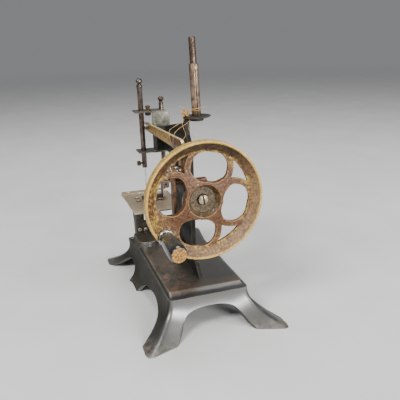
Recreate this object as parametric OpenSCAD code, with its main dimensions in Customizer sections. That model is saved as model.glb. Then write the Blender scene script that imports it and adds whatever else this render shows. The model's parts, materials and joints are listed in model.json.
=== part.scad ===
// Toy hand-crank chain-stitch sewing machine.
// Frame: +X along the arm towards the hand wheel, -Y the operator's side, +Z up.
// Origin: middle of the base on the ground. All sizes in millimetres.

/* [Base] */
// Half length of the deck, measured at the top edge of the skirt
deck_half_l = 51.15; // [48:0.05:55]
// Half width of the deck, measured at the top edge of the skirt
deck_half_w = 25; // [23:0.1:28]
// Height of the skirt's top edge above the ground
deck_h = 21.3; // [19:0.1:24]
// Rise of the flat deck panel above the skirt's top edge
panel_rise = 1.9; // [1:0.1:3]
// Half length over the toes
toe_half_l = 71.7; // [68:0.1:74]
// Half width over the toes
toe_half_w = 44; // [41:0.1:46]
// Wall thickness of the base casting
base_wall = 2.6; // [2:0.1:3.5]
// Height of the arch in the end skirts
end_arch_h = 14.5; // [10:0.5:16]
// Height of the two unequal arches in each long skirt
side_arch_h = 10.5; // [6:0.5:13]

/* [Arm] */
// Thickness of the C-shaped arm
arm_t = 3; // [2.5:0.1:4]
// X of the post's edge that faces the wheel
post_x = 20; // [17:0.5:22]

/* [Hand wheel] */
// Outer radius of the rim
wheel_r = 35; // [33:0.5:37]
// Height of the wheel's axle
axle_z = 78; // [76:0.5:80]
// X of the rim's front lip
wheel_front = 48.8; // [48:0.1:52]
// Depth of the rim
rim_depth = 5.6; // [5:0.1:7]
// Throw of the eccentric behind the wheel
throw = 2.6; // [2:0.1:3]
// Distance from the axle to the handle
handle_radius = 30.2; // [29:0.1:31]
// Outer end of the handle
handle_end = 72.5; // [66:0.5:76]

/* [Needle and presser] */
// X of the needle bar and the presser bar
bar_x = -47; // [-47.5:0.1:-46.5]
// Radius of the needle bar
needle_bar_r = 1.8; // [1.5:0.05:2]
// Lean of the needle bar towards the operator, in degrees
needle_lean = 0.5; // [0:0.1:1]
// Height of the cloth plate's top
plate_top = 52.6; // [51:0.1:54]
// Lift of the presser bar
presser_lift = 4; // [2:0.5:4]

/* [Spool] */
// Radius of the disc under the spool
spool_disc_r = 8.6; // [8:0.1:9.4]
// Length of the rolled sleeve
sleeve_len = 30.3; // [24:0.1:32]
// Height of the spool pin above its disc
spool_pin_len = 46.6; // [38:0.1:48]
// Lean of the spool pin towards the operator, in degrees
spool_lean = 2.2; // [0:0.1:3]

/* [Hidden] */

$fn = 64;
run = 0.05;           // radial clearance of a running fit
eps = 0.01;           // overrun of a cut past a face

arm_y = -0.5;         // operator's face of the arm
arm_back = arm_y + arm_t;
deck_top = deck_h + panel_rise;

// Wheel stack along X
web_front = wheel_front - 4.3;
web_t = 2.2;
web_back = web_front - web_t;
hub_front = web_front + 2.4;
hub_foot_r = 22;      // cone of the raised hub where it leaves the spokes
hub_top_r = 10.6;
recess_r = 9.4;
recess_floor = hub_front - 4.2;
sleeve_r = 6;
ecc_front = 39.4;
ecc_back = 35.4;
ecc_r = 10.5;
collar_r = 4.2;
collar_front = ecc_back - 0.1;
boss_front = 26;
axle_r = 2.5;
handle_turn = 38.6;   // handle's angle below the horizontal
handle_y = -handle_radius * cos(handle_turn);
handle_z = axle_z - handle_radius * sin(handle_turn);
ferrule_r = 4.9;
barrel_r = 5.3;
handle_pin_r = 1.5;

// Levers, in the XZ plane
lever_out = -10;      // operator's face of both levers
lever_in = -8;        // arm side face of both levers
pivot = [6, 84.5];    // needle lever pivot
link_top = [33, 94];  // joint of needle lever and link
link_low = [33, 46];  // joint of link and looper lever
looper_pivot = [-16, 46];
looper_x = -34.5;     // rivet of the looper in its lever
link_out = -15.3;
link_in = -13.6;
pin_r = 1.5;
screw_r = 2;
fork_z = 106;         // height of the lever's fork at the needle bar

// Head
head_end = -40;       // the arm's free end, where the bracket is screwed on
sheet = 1;
bracket_x = head_end - sheet;
bracket_top = 118.4;
bracket_low = 89.1;
bracket_end = -53;
bracket_left = -7.6;
bracket_right = 5;
bracket_corner = 2.5;
bar_y0 = -13.6;       // needle bar axis where it meets bar_z0
bar_z0 = 98;
bar_low = 77.4;
bar_high = 139.4;
presser_y = 0.9;
presser_r = 1.6;
presser_low = 61;
presser_high = 125.8;
tension_y = -9.4;
tension_x = -44.6;

// Cloth plate
plate_t = 1.2;
plate_near = -20.5;
plate_far = -64.9;
plate_front = -28.2;
plate_back = 7;
needle_y = bar_y0 + (bar_z0 - plate_top) * tan(needle_lean); // needle axis at the cloth plate
spool_x = 15;
spool_y = 6.9;
ear_top = 120.4;
ear_t = 1.6;
ear_r = 4.2;
spool_rod_r = 1.95;   // thick part of the spool pin

// ---------- helpers ----------
module rod_x(r, x0, x1) {
    translate([x0, 0, 0]) rotate([0, 90, 0]) cylinder(r = r, h = x1 - x0);
}

module rod_y(r, y0, y1) {
    translate([0, y1, 0]) rotate([90, 0, 0]) cylinder(r = r, h = y1 - y0);
}

module rod_z(r, z0, z1) {
    translate([0, 0, z0]) cylinder(r = r, h = z1 - z0);
}

module block(low, high) {
    translate(low) cube(high - low);
}

// Extrudes a shape drawn in X and Z between two Y planes
module slab_xz(y0, y1) {
    translate([0, y1, 0]) rotate([90, 0, 0]) linear_extrude(y1 - y0) children();
}

// A bar of even width with round ends between two points
module strap(p, q, width) {
    a = atan2(q[1] - p[1], q[0] - p[0]);
    polygon(concat(arc(p, width / 2, a + 90, a + 270, 16), arc(q, width / 2, a - 90, a + 90, 16)));
}

// Slotted pan head with its flat side on z = 0
module slotted_head(r, h, slot_w) {
    difference() {
        rotate_extrude() polygon(concat(
            [[0, 0], [r, 0], [r, h * 0.35]],
            [for (a = [15:15:90]) [r * cos(a), h * (0.35 + 0.65 * sin(a))]]
        ));
        translate([-r - eps, -slot_w / 2, h * 0.55]) cube([2 * r + 2 * eps, slot_w, h]);
    }
}

module slotted_screw(head_r, head_h, shank_r, shank_l) {
    slotted_head(head_r, head_h, head_r * 0.28);
    rod_z(shank_r, -shank_l, eps);
}

// Puts a part drawn about its own +Z axis on the needle bar's leaning axis
module on_needle_axis() {
    translate([bar_x, bar_y0, bar_z0]) rotate([needle_lean, 0, 0]) children();
}

module on_spool_axis() {
    translate([spool_x, spool_y, ear_top]) rotate([spool_lean, 0, 0]) children();
}

function arc(c, r, a0, a1, n) = [for (i = [0:n]) let (a = a0 + (a1 - a0) * i / n) c + r * [cos(a), sin(a)]];
function mix(a, b, t) = a + (b - a) * t;
function smooth(t) = let (u = min(max(t, 0), 1)) u * u * (3 - 2 * u);

// ---------- base casting ----------
ring_n = 96;
flare_power = 2.3;
skirt_levels = 7;
corner_r = 3;
shoulder_out = 5;
shoulder_wide = 0.13;
end_arch_half = 24.2;
side_arches = [[-41, 15], [24.5, 32.5]]; // middle and half length of the arches in a long skirt

// Rounded rectangle in a polar sweep: half sizes a and b, corner radius r
function outline(a, b, r) = [
    for (i = [0:ring_n - 1])
        let (
            q = floor(4 * i / ring_n),
            k = i - q * ring_n / 4,
            u = k / (ring_n / 4),
            sx = (q == 0 || q == 3) ? 1 : -1,
            sy = (q < 2) ? 1 : -1,
            v = (q % 2 == 0) ? u : 1 - u,
            along = v < 0.38 ? 0 : v > 0.62 ? 1 : (v - 0.38) / 0.24,
            y = v < 0.38 ? mix(0, b - r, v / 0.38) : b - r + r * sin(90 * along),
            x = v > 0.62 ? mix(a - r, 0, (v - 0.62) / 0.38) : a - r + r * cos(90 * along)
        )
        [sx * x, sy * (v > 0.62 ? b : y)]
];

// Where the flared skirt would meet the ground under a point of the deck's edge
function ground(p) =
    let (
        ex = abs(p[0]) / deck_half_l,
        ey = abs(p[1]) / deck_half_w,
        at_end = smooth((ex - 0.72) / 0.28),
        at_side = smooth((ey - 0.55) / 0.45),
        reach_x = mix(3, toe_half_l - deck_half_l, at_end) * (at_end > 0 ? 1 : 0.6),
        reach_y = mix(0, mix(8, toe_half_w - deck_half_w, smooth((ex - 0.35) / 0.6)), at_side),
        toe = at_end * at_side,
        gx = sign(p[0]) * (abs(p[0]) + reach_x * ex * mix(0.62, 1, toe)),
        gy = sign(p[1]) * (abs(p[1]) + reach_y + (ex > 0.9 ? 6 * ey * (1 - at_side) : 0))
    )
    [gx, gy];

// Height of an arch with rounded shoulders at t, where -1 and 1 are its ends
function arch(t, h, p) = abs(t) < 1 ? h * pow(1 - pow(abs(t), p), 1 / p) : 0;

// Lowest point of the skirt along the edge: arches between the legs and the side lobes
function skirt_low(g) = max(
    abs(g[0]) > 58 ? arch(g[1] / end_arch_half, end_arch_h, 2.6) : 0,
    abs(g[1]) > 30 ? max([for (a = side_arches) arch((g[0] - a[0]) / a[1], side_arch_h, 2.2)]) : 0
);

function skirt_ring(edge, low, v, inset) = [
    for (i = [0:ring_n - 1])
        let (
            g = ground(edge[i]),
            z = deck_h - v * (deck_h - low[i]),
            f = pow((deck_h - z) / deck_h, flare_power),
            p = edge[i] + (g - edge[i]) * f,
            d = p / norm(p)
        )
        [p[0] - inset * sign(p[0]) * min(1, abs(d[0]) * 2), p[1] - inset * sign(p[1]) * min(1,
            abs(d[1]) * 2), z]
];

// Carries the upper part of the skirt out at the head end, where the casting's shoulder is fuller
function shoulder(p) =
    let (t = smooth((-p[0] - 26) / 24) * pow(min(max(p[2] / deck_h, 0), 1), 1.5))
    [p[0] - shoulder_out * t, p[1] * (1 + shoulder_wide * t), p[2]];

function flat_ring(points, z) = [for (p = points) [p[0], p[1], z]];

module base_shell() {
    edge = outline(deck_half_l, deck_half_w, corner_r);
    inner_edge = outline(deck_half_l - base_wall, deck_half_w - base_wall, corner_r - 1.5);
    low = [for (p = edge) skirt_low(ground(p))];
    panel = outline(deck_half_l - 7, deck_half_w - 1.6, corner_r - 1.5);
    outer = [for (k = [0:skirt_levels]) skirt_ring(edge, low, k / skirt_levels, 0)];
    inner = [for (k = [skirt_levels:-1:1]) skirt_ring(edge, low, k / skirt_levels, base_wall)];
    rings = concat(
        [flat_ring(panel, deck_top)], outer, inner, [flat_ring(inner_edge, deck_h - 1.2)]
    );
    count = len(rings);
    points = concat([for (r = rings) for (p = r) shoulder(p)], [[0, 0, deck_top], [0, 0, deck_h - 1.2]]);
    top_mid = count * ring_n;
    low_mid = top_mid + 1;
    faces = concat(
        [for (k = [0:count - 2]) for (i = [0:ring_n - 1])
            let (j = (i + 1) % ring_n, a = k * ring_n, b = a + ring_n) each
            [[a + i, a + j, b + i], [a + j, b + j, b + i]]],
        [for (i = [0:ring_n - 1]) [top_mid, (i + 1) % ring_n, i]],
        [for (i = [0:ring_n - 1])
            [low_mid, (count - 1) * ring_n + i, (count - 1) * ring_n + (i + 1) % ring_n]]
    );
    polyhedron(points, faces);
}

// Oval pad cast on the deck under the pedestal, with an upright lug behind the pedestal's front
pad_x = [-46, -35];
pad_y = -17.5;
pad_w = 15;
pad_h = 3.4;
lug = [[-50, -21.6], [-44.65, -10.7]];
lug_top = 34;

// Screws that go up through the deck into the arm's foot
arm_screw_x = [-12, 22];
arm_screw_r = 1;
arm_screw_y = arm_y + arm_t / 2;
deck_block_low = deck_h - 3;

module base() {
    color([0.07, 0.07, 0.07])
    difference() {
        union() {
            base_shell();
            block([-deck_half_l + 14, -deck_half_w + 8, deck_block_low],
                  [deck_half_l - 14, deck_half_w - 8, deck_top - 0.5]);
            translate([0, 0, deck_h - 1]) linear_extrude(deck_top + pad_h - deck_h + 1)
                strap([pad_x[0], pad_y], [pad_x[1], pad_y], pad_w);
            block([lug[0][0], lug[0][1], deck_top], [lug[1][0], lug[1][1], lug_top]);
        }
        for (x = arm_screw_x) translate([x, arm_screw_y, 0]) rod_z(arm_screw_r + run,
            deck_block_low - 1, deck_top + 1);
        for (y = pedestal_screw_y) translate([0, y, pedestal_screw_z]) rod_x(1.2, -49, -40);
    }
}

// ---------- arm ----------
// C-shaped outline: foot, post and the long reach to the head
function arm_outline() = concat(
    [[-30, deck_top]],
    arc([-34, 43.2], 20, -78, 0, 12),
    arc([-29, 76.5], 15, 0, 90, 10),
    [[-33, 91.5], [head_end, 91.5]],
    [for (k = [0:8]) [mix(head_end, post_x - 5.5, k / 8), 107.2 + 10.8 * pow(k / 8, 0.9)]],
    arc([post_x - 13.5, 100], 13.5, 50, 0, 8),
    arc([post_x + 18, 44], 18, 180, 228, 10),
    [[34, deck_top]]
);

module arm() {
    color([0.08, 0.08, 0.075])
    difference() {
        union() {
            slab_xz(arm_y, arm_back) polygon(arm_outline());
            translate([looper_pivot[0], 0, looper_pivot[1]]) rod_y(5.5, arm_y + 0.2, arm_back - 0.2);
            // wheel boss
            translate([0, 0, axle_z]) rod_x(6, 6, boss_front);
            // lever pivot boss and looper pivot boss
            translate([pivot[0], 0, pivot[1]]) rod_y(4.2, lever_in + 0.1, 0.5);
            translate([looper_pivot[0], 0, looper_pivot[1]]) rod_y(3.6, lever_in + 0.1, 0.5);
            // head block
            block([head_end, bracket_left + 0.3, 91.5], [head_end + 7, arm_back, 107]);
            // round ear for the spool pin
            translate([spool_x, spool_y, 0]) rod_z(ear_r, ear_top - ear_t, ear_top);
            block([spool_x - ear_r, arm_y, ear_top - ear_t], [spool_x - 0.6, spool_y, ear_top]);
            block([spool_x - ear_r, arm_y, 112], [spool_x - 0.6, arm_back, ear_top]);
        }
        translate([0, 0, axle_z]) rod_x(axle_r, 10, boss_front + 1);
        translate([pivot[0], 0, pivot[1]]) rod_y(screw_r, lever_in - 1, 1.5);
        translate([looper_pivot[0], 0, looper_pivot[1]]) rod_y(screw_r, lever_in - 1, 1.5);
        for (x = arm_screw_x) translate([x, arm_screw_y, 0]) rod_z(arm_screw_r, deck_top - 1, deck_top + 6);
        on_spool_axis() rod_z(1.25, -4, 4);
        for (z = bracket_screw_z) translate([0, bracket_screw_y, z]) rod_x(1.1, head_end - 1, head_end + 6);
    }
}

module arm_screws() {
    color([0.25, 0.22, 0.2])
    for (x = arm_screw_x) translate([x, arm_screw_y, deck_block_low])
        rotate([180, 0, x]) slotted_screw(2.8, 1.8, arm_screw_r - 0.02, deck_top - deck_block_low + 5.6);
}

// ---------- head bracket ----------
bracket_screw_y = -3;
bracket_screw_z = [95, 103];

module head_bracket() {
    color([0.55, 0.57, 0.5])
    difference() {
        union() {
            // back plate against the arm's head block, with a rounded upper corner
            translate([bracket_x, 0, 0]) rotate([90, 0, 90]) linear_extrude(sheet)
                difference() {
                    polygon(concat(
                        [[bracket_left, bracket_top], [bracket_left, bracket_low], [bracket_right,
                            bracket_low]],
                        arc([bracket_right - bracket_corner, bracket_top - bracket_corner],
                            bracket_corner, 0, 90, 6)
                    ));
                    translate([3, bracket_low + sheet]) square([5, 106 - bracket_low]);
                }
            // upper and lower ears
            block([bracket_end, -19, bracket_top - sheet],
                  [bracket_x + eps, bracket_right - bracket_corner, bracket_top]);
            block([bracket_end, -18, bracket_low], [bracket_x + eps,
                bracket_right - bracket_corner, bracket_low + sheet]);
        }
        on_needle_axis() rod_z(needle_bar_r + run, -20, 30);
        translate([bar_x, presser_y, 0]) rod_z(presser_r + run, 80, 130);
        for (z = bracket_screw_z) translate([0, bracket_screw_y, z]) rod_x(1.3, bracket_x - 2,
            head_end + 1);
        translate([tension_x, tension_y, 0]) rod_z(0.9, 110, 120);
    }
}

module bracket_screws() {
    color([0.4, 0.38, 0.35])
    for (z = bracket_screw_z) translate([bracket_x, bracket_screw_y, z])
        rotate([0, -90, 0]) slotted_screw(2.2, 1.2, 1.08, 5.6);
}

// ---------- pedestal and cloth plate ----------
pedestal_x = [-56, -43];
pedestal_y = [-23.3, -9];
pedestal_t = 1.6;
pedestal_base = deck_top + pad_h;
pedestal_screw_z = 31;
pedestal_screw_y = [-20.9, -16.7];
looper_gap_y = -17.2;
looper_gap_z = 38;

module pedestal() {
    color([0.05, 0.05, 0.05])
    difference() {
        union() {
            // front plate
            block([pedestal_x[1] - pedestal_t, pedestal_y[0], pedestal_base],
                  [pedestal_x[1], pedestal_y[1], plate_top - plate_t]);
            // full side plate towards the operator
            slab_xz(pedestal_y[0], pedestal_y[0] + pedestal_t) polygon([
                [pedestal_x[1], pedestal_base], [pedestal_x[0] + 5, pedestal_base],
                    [pedestal_x[0] + 3.5, 37],
                [pedestal_x[0], 42], [pedestal_x[0], plate_top - plate_t], [pedestal_x[1],
                    plate_top - plate_t]
            ]);
            // low side plate on the other side, clear of the looper
            block([pedestal_x[0] + 5, pedestal_y[1] - pedestal_t, pedestal_base],
                  [pedestal_x[1], pedestal_y[1], looper_gap_z - 1]);
            // top flange under the cloth plate
            block([pedestal_x[0], pedestal_y[0], plate_top - plate_t - pedestal_t],
                  [pedestal_x[1], looper_gap_y - 0.6, plate_top - plate_t]);
        }
        // window for the looper lever
        block([pedestal_x[1] - 3, looper_gap_y, looper_gap_z], [pedestal_x[1] + 1,
            pedestal_y[1] + 1, plate_top]);
        for (y = pedestal_screw_y) translate([0, y, pedestal_screw_z]) rod_x(1.3, -50, -40);
        for (x = plate_screw_x) translate([x, plate_screw_y, 0]) rod_z(1.1, plate_top - 6, plate_top);
    }
}

module pedestal_screws() {
    color([0.6, 0.57, 0.5])
    for (y = pedestal_screw_y) translate([pedestal_x[1], y, pedestal_screw_z])
        rotate([0, 90, 0]) slotted_screw(1.6, 1.1, 1.18, 5);
}

feed_slot_x = [bar_x - 3.4, bar_x + 3.4];
feed_slot_w = 2;
feed_slot_y = [needle_y - 4, needle_y + 8];

module plate_shape() {
    polygon(concat(
        [[plate_far, plate_front], [plate_near, plate_front]],
        arc([plate_near - 12, plate_back - 12], 12, 0, 90, 10),
        [[plate_far, plate_back]]
    ));
}

module cloth_plate() {
    color([0.66, 0.6, 0.5])
    difference() {
        union() {
            translate([0, 0, plate_top - plate_t]) linear_extrude(plate_t) plate_shape();
            // ledge that carries the slide plate
            block([plate_far - 7.6, plate_front, plate_top - 2.2], [plate_far + 3, plate_back,
                plate_top - plate_t]);
        }
        for (x = feed_slot_x)
            block([x - feed_slot_w / 2, feed_slot_y[0], plate_top - 4],
                  [x + feed_slot_w / 2, feed_slot_y[1], plate_top + 1]);
        translate([bar_x, needle_y, 0]) rod_z(1.1, plate_top - 4, plate_top + 1);
        for (x = plate_screw_x) translate([x, plate_screw_y, 0]) {
            rod_z(1.3, plate_top - 4, plate_top + 1);
            translate([0, 0, plate_top - 0.9]) cylinder(r1 = 1.3, r2 = 2.2, h = 0.9 + eps);
        }
    }
}

plate_screw_x = [-53, -46];
plate_screw_y = -19.6;

module plate_screws() {
    color([0.5, 0.45, 0.38])
    for (x = plate_screw_x) translate([x, plate_screw_y, 0]) difference() {
        union() {
            rod_z(1.08, plate_top - plate_t - pedestal_t - 1, plate_top - 0.6);
            translate([0, 0, plate_top - 0.88]) cylinder(r1 = 1.3, r2 = 2.16, h = 0.86);
        }
        block([-3, -0.3, plate_top - 0.5], [3, 0.3, plate_top + 1]);
    }
}

module slide_plate() {
    color([0.78, 0.72, 0.62])
    difference() {
        block([plate_far - 7, plate_front + 0.4, plate_top - 1.2], [plate_far - 0.4,
            plate_back - 0.6, plate_top + 0.5]);
        translate([plate_far - 3.6, plate_front + 5, 0]) rod_z(1.6, plate_top, plate_top + 2);
    }
}

// ---------- axle and hand wheel ----------
module at_axle() {
    translate([0, 0, axle_z]) children();
}

module axle_stud() {
    color([0.62, 0.6, 0.58])
    at_axle() {
        rod_x(axle_r - 0.02, 12, boss_front + eps);
        rod_x(collar_r, boss_front, collar_front);
        rod_x(axle_r, collar_front - eps, recess_floor + 0.1);
        translate([recess_floor + 0.1, 0, 0]) rotate([0, 90, 0]) rotate([0, 0,
            10]) slotted_head(3.3, 2.3, 1.1);
    }
}

// Four D-shaped windows, each a rounded box with its flat side to the hub
window_in = 12.6;
window_out = 28;
window_half_w = 11.2;
window_turn = -12;
spoke_w = 3.5;

module window(grow) {
    a = window_half_w + grow;
    n0 = window_in - grow;
    n1 = window_out + grow;
    r0 = 5 + grow;
    r1 = 8.5 + grow;
    union() {
        for (s = [-1, 1]) {
            translate([s * (a - r0), n0 + r0]) circle(r = r0);
            translate([s * (a - r1), n1 - r1]) circle(r = r1);
        }
        polygon([
            [-a + r0, n0], [a - r0, n0], [a, n0 + r0], [a, n1 - r1],
            [a - r1, n1], [-a + r1, n1], [-a, n1 - r1], [-a, n0 + r0]
        ]);
    }
}

module web_shape() {
    rotate(window_turn) difference() {
        circle(r = 31);
        for (q = [0:3]) rotate(90 * q) window(0);
        // small three-cornered openings between the spokes; the quarter with the handle is solid
        for (q = [0, 2, 3]) rotate(90 * q + 45) intersection() {
            difference() {
                circle(r = 28.4);
                circle(r = 15.5);
                for (k = [-45, 45]) rotate(k) window(spoke_w);
            }
            translate([-12, 0]) square([24, 40]);
        }
    }
}

// Draws a shape given as across (Y) and up (Z) between two X planes
module slab_yz(x0, x1) {
    translate([x0, 0, 0]) rotate([90, 0, 90]) linear_extrude(x1 - x0) children();
}

module handwheel() {
    color([0.45, 0.3, 0.18])
    difference() {
        union() {
            at_axle() {
                slab_yz(web_back, web_front) web_shape();
                // rim, drawn as radius and X
                rotate([0, 90, 0]) rotate_extrude() polygon([
                    [28.6, web_back], [33.2, web_back - 0.2], [wheel_r - 0.6, wheel_front - rim_depth],
                    [wheel_r, wheel_front - rim_depth + 0.8], [wheel_r, wheel_front - 0.4],
                    [wheel_r - 0.4, wheel_front], [wheel_r - 1.1, wheel_front], [wheel_r - 1.6,
                        wheel_front - 0.5],
                    [29, web_front], [28.6, web_front - 0.5]
                ]);
                // raised hub that runs out along the spokes
                intersection() {
                    slab_yz(web_front - 1, hub_front) web_shape();
                    translate([web_front - eps, 0, 0]) rotate([0, 90, 0])
                        cylinder(r1 = hub_foot_r, r2 = hub_top_r, h = hub_front - web_front + eps);
                }
                rod_x(sleeve_r, ecc_back, web_back);
            }
            translate([0, handle_y, handle_z]) rod_x(ferrule_r, web_back - 0.6, web_front + 0.5);
        }
        at_axle() {
            rod_x(axle_r + run, ecc_back - 1, hub_front + 1);
            translate([recess_floor, 0, 0]) rotate([0, 90, 0])
                cylinder(r1 = 7.6, r2 = recess_r + 0.3, h = hub_front - recess_floor + eps);
        }
        translate([0, handle_y, handle_z]) rod_x(handle_pin_r, web_back - 3, web_front + 3);
        // room for the ferrule beside the rim
        translate([0, handle_y, handle_z]) rod_x(ferrule_r + 0.3, web_front + 0.5, wheel_front + 1);
    }
}

module eccentric() {
    color([0.6, 0.56, 0.5])
    at_axle() difference() {
        translate([0, 0, -throw]) rod_x(ecc_r, ecc_back, ecc_front);
        rod_x(sleeve_r, ecc_back - 1, ecc_front + 1);
    }
}

module handle_pin() {
    color([0.5, 0.46, 0.4])
    translate([0, handle_y, handle_z]) {
        rod_x(handle_pin_r - 0.02, web_back - 0.6, handle_end - 2.4);
        rod_x(2.3, handle_end - 2.4, handle_end - 1.5);
    }
}

barrel_start = web_front + 3.4;

// Turned barrel: waist next to the ferrule, widest near the free end
module handle_barrel() {
    color([0.2, 0.22, 0.2])
    translate([0, handle_y, handle_z]) rotate([0, 90, 0]) difference() {
        rotate_extrude() polygon([
            [0, barrel_start], [4.2, barrel_start], [4.4, barrel_start + 0.8], [4, barrel_start + 1.5],
            [4.4, barrel_start + 2.6], [barrel_r - 0.3, barrel_start + 8], [barrel_r, barrel_start + 13],
            [barrel_r, handle_end - 3], [barrel_r - 0.4, handle_end - 1.2], [barrel_r - 1,
                handle_end], [0, handle_end]
        ]);
        rod_z(handle_pin_r + run, barrel_start - 1, handle_end - 2.45);
        rod_z(2.3 + run, handle_end - 2.45, handle_end - 1.45);
    }
}

module handle_ferrule() {
    color([0.35, 0.36, 0.33])
    translate([0, handle_y, handle_z]) rotate([0, 90, 0]) difference() {
        rotate_extrude() polygon([
            [0, web_front + 0.6], [ferrule_r - 0.2, web_front + 0.6], [ferrule_r, web_front + 1.2],
            [ferrule_r, barrel_start - 0.7], [ferrule_r - 0.4, barrel_start - 0.1], [0, barrel_start - 0.1]
        ]);
        rod_z(handle_pin_r + run, web_front, barrel_start + 1);
    }
}

// ---------- levers and link ----------
module needle_lever() {
    color([0.62, 0.48, 0.2])
    difference() {
        union() {
            slab_xz(lever_out, lever_in) polygon(concat(
                [[bar_x - 8.5, fork_z - 2.7], [bar_x - 8.5, fork_z + 2.9], [10, 111.4]],
                arc([34, 107.5], 4.5, 90, -60, 8),
                [[12, 104.6]]
            ));
            slab_xz(lever_out, lever_in) strap(pivot, [31, 105], 5.6);
            slab_xz(lever_out, lever_in) strap([33, 106], link_top, 5.6);
            translate([pivot[0], 0, pivot[1]]) rod_y(5, lever_out, lever_in);
        }
        translate([pivot[0], 0, pivot[1]]) rod_y(screw_r + run, lever_out - 1, lever_in + 1);
        translate([link_top[0], 0, link_top[1]]) rod_y(pin_r, lever_out - 1, lever_in + 1);
        // open fork for the needle bar's drive stud
        block([bar_x - 10, lever_out - 1, fork_z - 1.6], [bar_x + 5, lever_in + 1, fork_z + 1.6]);
    }
}

module lever_screw() {
    color([0.55, 0.5, 0.42])
    translate([pivot[0], lever_out - 0.1, pivot[1]]) rotate([90, 0, 0]) {
        rotate([0, 0, 35]) slotted_head(3.8, 2, 1);
        rod_z(screw_r, -9.5, eps);
    }
}

module looper_screw() {
    color([0.55, 0.5, 0.42])
    translate([looper_pivot[0], lever_out - 0.1, looper_pivot[1]]) rotate([90, 0, 0]) {
        rotate([0, 0, -20]) slotted_head(3.4, 1.8, 0.9);
        rod_z(screw_r, -9.5, eps);
    }
}

// Shouldered rivet: shank in the lever, collar between, and a head outside the link
module lever_link_pin() {
    color([0.5, 0.47, 0.42])
    translate([link_top[0], 0, link_top[1]]) {
        rod_y(pin_r - 0.02, lever_out - eps, lever_in);
        rod_y(2.6, link_in + 0.05, lever_out);
        rod_y(pin_r, link_out - 0.06, link_in + 0.06);
        rod_y(2.4, link_out - 1.1, link_out - 0.05);
    }
}

link_half = 2;

module drive_link() {
    color([0.42, 0.33, 0.28])
    difference() {
        union() {
            slab_xz(link_out, link_in) strap(link_low, link_top, 2 * link_half + 1.6);
            // two jaws that reach in above and below the eccentric
            for (z = [axle_z - throw + ecc_r + run, axle_z - throw - ecc_r - run - 2])
                block([link_top[0] - link_half, link_in - eps, z], [link_top[0] + link_half, 5.5, z + 2]);
        }
        translate([link_top[0], 0, link_top[1]]) rod_y(pin_r + run, link_out - 1, link_in + 1);
        translate([link_low[0], 0, link_low[1]]) rod_y(pin_r, link_out - 1, link_in + 1);
    }
}

// Rivet fixed in the link; its shank slides in the looper lever's slot
module looper_link_pin() {
    color([0.5, 0.47, 0.42])
    translate([link_low[0], 0, link_low[1]]) {
        rod_y(pin_r - 0.02, link_out, link_in);
        rod_y(2.4, link_out - 0.9, link_out);
        rod_y(2.6, link_in, lever_out - 0.1);
        rod_y(pin_r - 0.02, link_in, lever_in + 0.4);
    }
}

module looper_lever() {
    color([0.35, 0.3, 0.26])
    difference() {
        union() {
            slab_xz(lever_out, lever_in) polygon([
                [looper_x - 3, 43.8], [looper_x - 3, 47.8], [looper_pivot[0], 49], [28, 49],
                [37, 48.8], [37, 43.2], [28, 43], [looper_pivot[0], 43]
            ]);
            translate([looper_pivot[0], 0, looper_pivot[1]]) rod_y(4, lever_out, lever_in);
        }
        translate([looper_pivot[0], 0, looper_pivot[1]]) rod_y(screw_r + run, lever_out - 1, lever_in + 1);
        slab_xz(lever_out - 1, lever_in + 1) strap([link_low[0] - 3.2, link_low[1]],
            [link_low[0] + 0.8, link_low[1]], 3.5);
        translate([looper_x, 0, 45.8]) rod_y(1, lever_out - 1, lever_in + 1);
    }
}

looper_t = 2;

// Curved hook below the needle, on a flat tail
module looper() {
    color([0.7, 0.68, 0.64])
    difference() {
        slab_xz(lever_out - looper_t, lever_out) {
            strap([looper_x, 45.8], [bar_x + 1, 45.8], 3);
            difference() {
                translate([bar_x + 1, 46.6]) circle(r = 2.7);
                translate([bar_x + 1.8, 47.2]) circle(r = 1.8);
                translate([bar_x + 2, 47]) square([4, 4]);
            }
        }
        translate([looper_x, 0, 45.8]) rod_y(1, lever_out - 3, lever_out + 1);
    }
}

module looper_rivet() {
    color([0.5, 0.47, 0.42])
    translate([looper_x, 0, 45.8]) {
        rod_y(0.98, lever_out - looper_t, lever_in);
        rod_y(1.7, lever_out - looper_t - 0.8, lever_out - looper_t);
    }
}

// ---------- needle bar ----------
stud_at = fork_z - bar_z0;

module needle_bar() {
    color([0.32, 0.28, 0.25])
    on_needle_axis() difference() {
        rotate_extrude() polygon(concat(
            [[0, bar_low - bar_z0], [needle_bar_r - 0.3, bar_low - bar_z0], [needle_bar_r,
                bar_low - bar_z0 + 0.3],
             [needle_bar_r, bar_high - bar_z0 - 5.2], [2.1, bar_high - bar_z0 - 4.8], [2.1,
                 bar_high - bar_z0 - 3.6],
             [1.2, bar_high - bar_z0 - 3.1], [1.2, bar_high - bar_z0 - 2.6]],
            [for (a = [-50:20:90]) [2.15 * cos(a), bar_high - bar_z0 - 0.9 + 2.15 * sin(a)]]
        ));
        // needle socket, drive stud hole and clamp screw hole
        rod_z(0.8, bar_low - bar_z0 - 1, bar_low - bar_z0 + 8);
        translate([0, 0, stud_at]) rod_y(0.9, 0, 4);
        translate([0, 0, bar_low - bar_z0 + 3.4]) rod_y(0.7, -4, 0);
    }
}

module needle_drive_stud() {
    color([0.5, 0.47, 0.42])
    on_needle_axis() translate([0, 0, stud_at]) {
        rod_y(0.88, 0.2, 2.2);
        rod_y(1.05, needle_bar_r + 0.05, 6);
    }
}

module needle() {
    color([0.75, 0.75, 0.75])
    on_needle_axis() rotate_extrude() polygon([
        [0, bar_low - bar_z0 + 7.5], [0.76, bar_low - bar_z0 + 7.5], [0.76, bar_low - bar_z0 - 5],
        [0.45, bar_low - bar_z0 - 6.5], [0.45, bar_low - bar_z0 - 16], [0, bar_low - bar_z0 - 19]
    ]);
}

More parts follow.
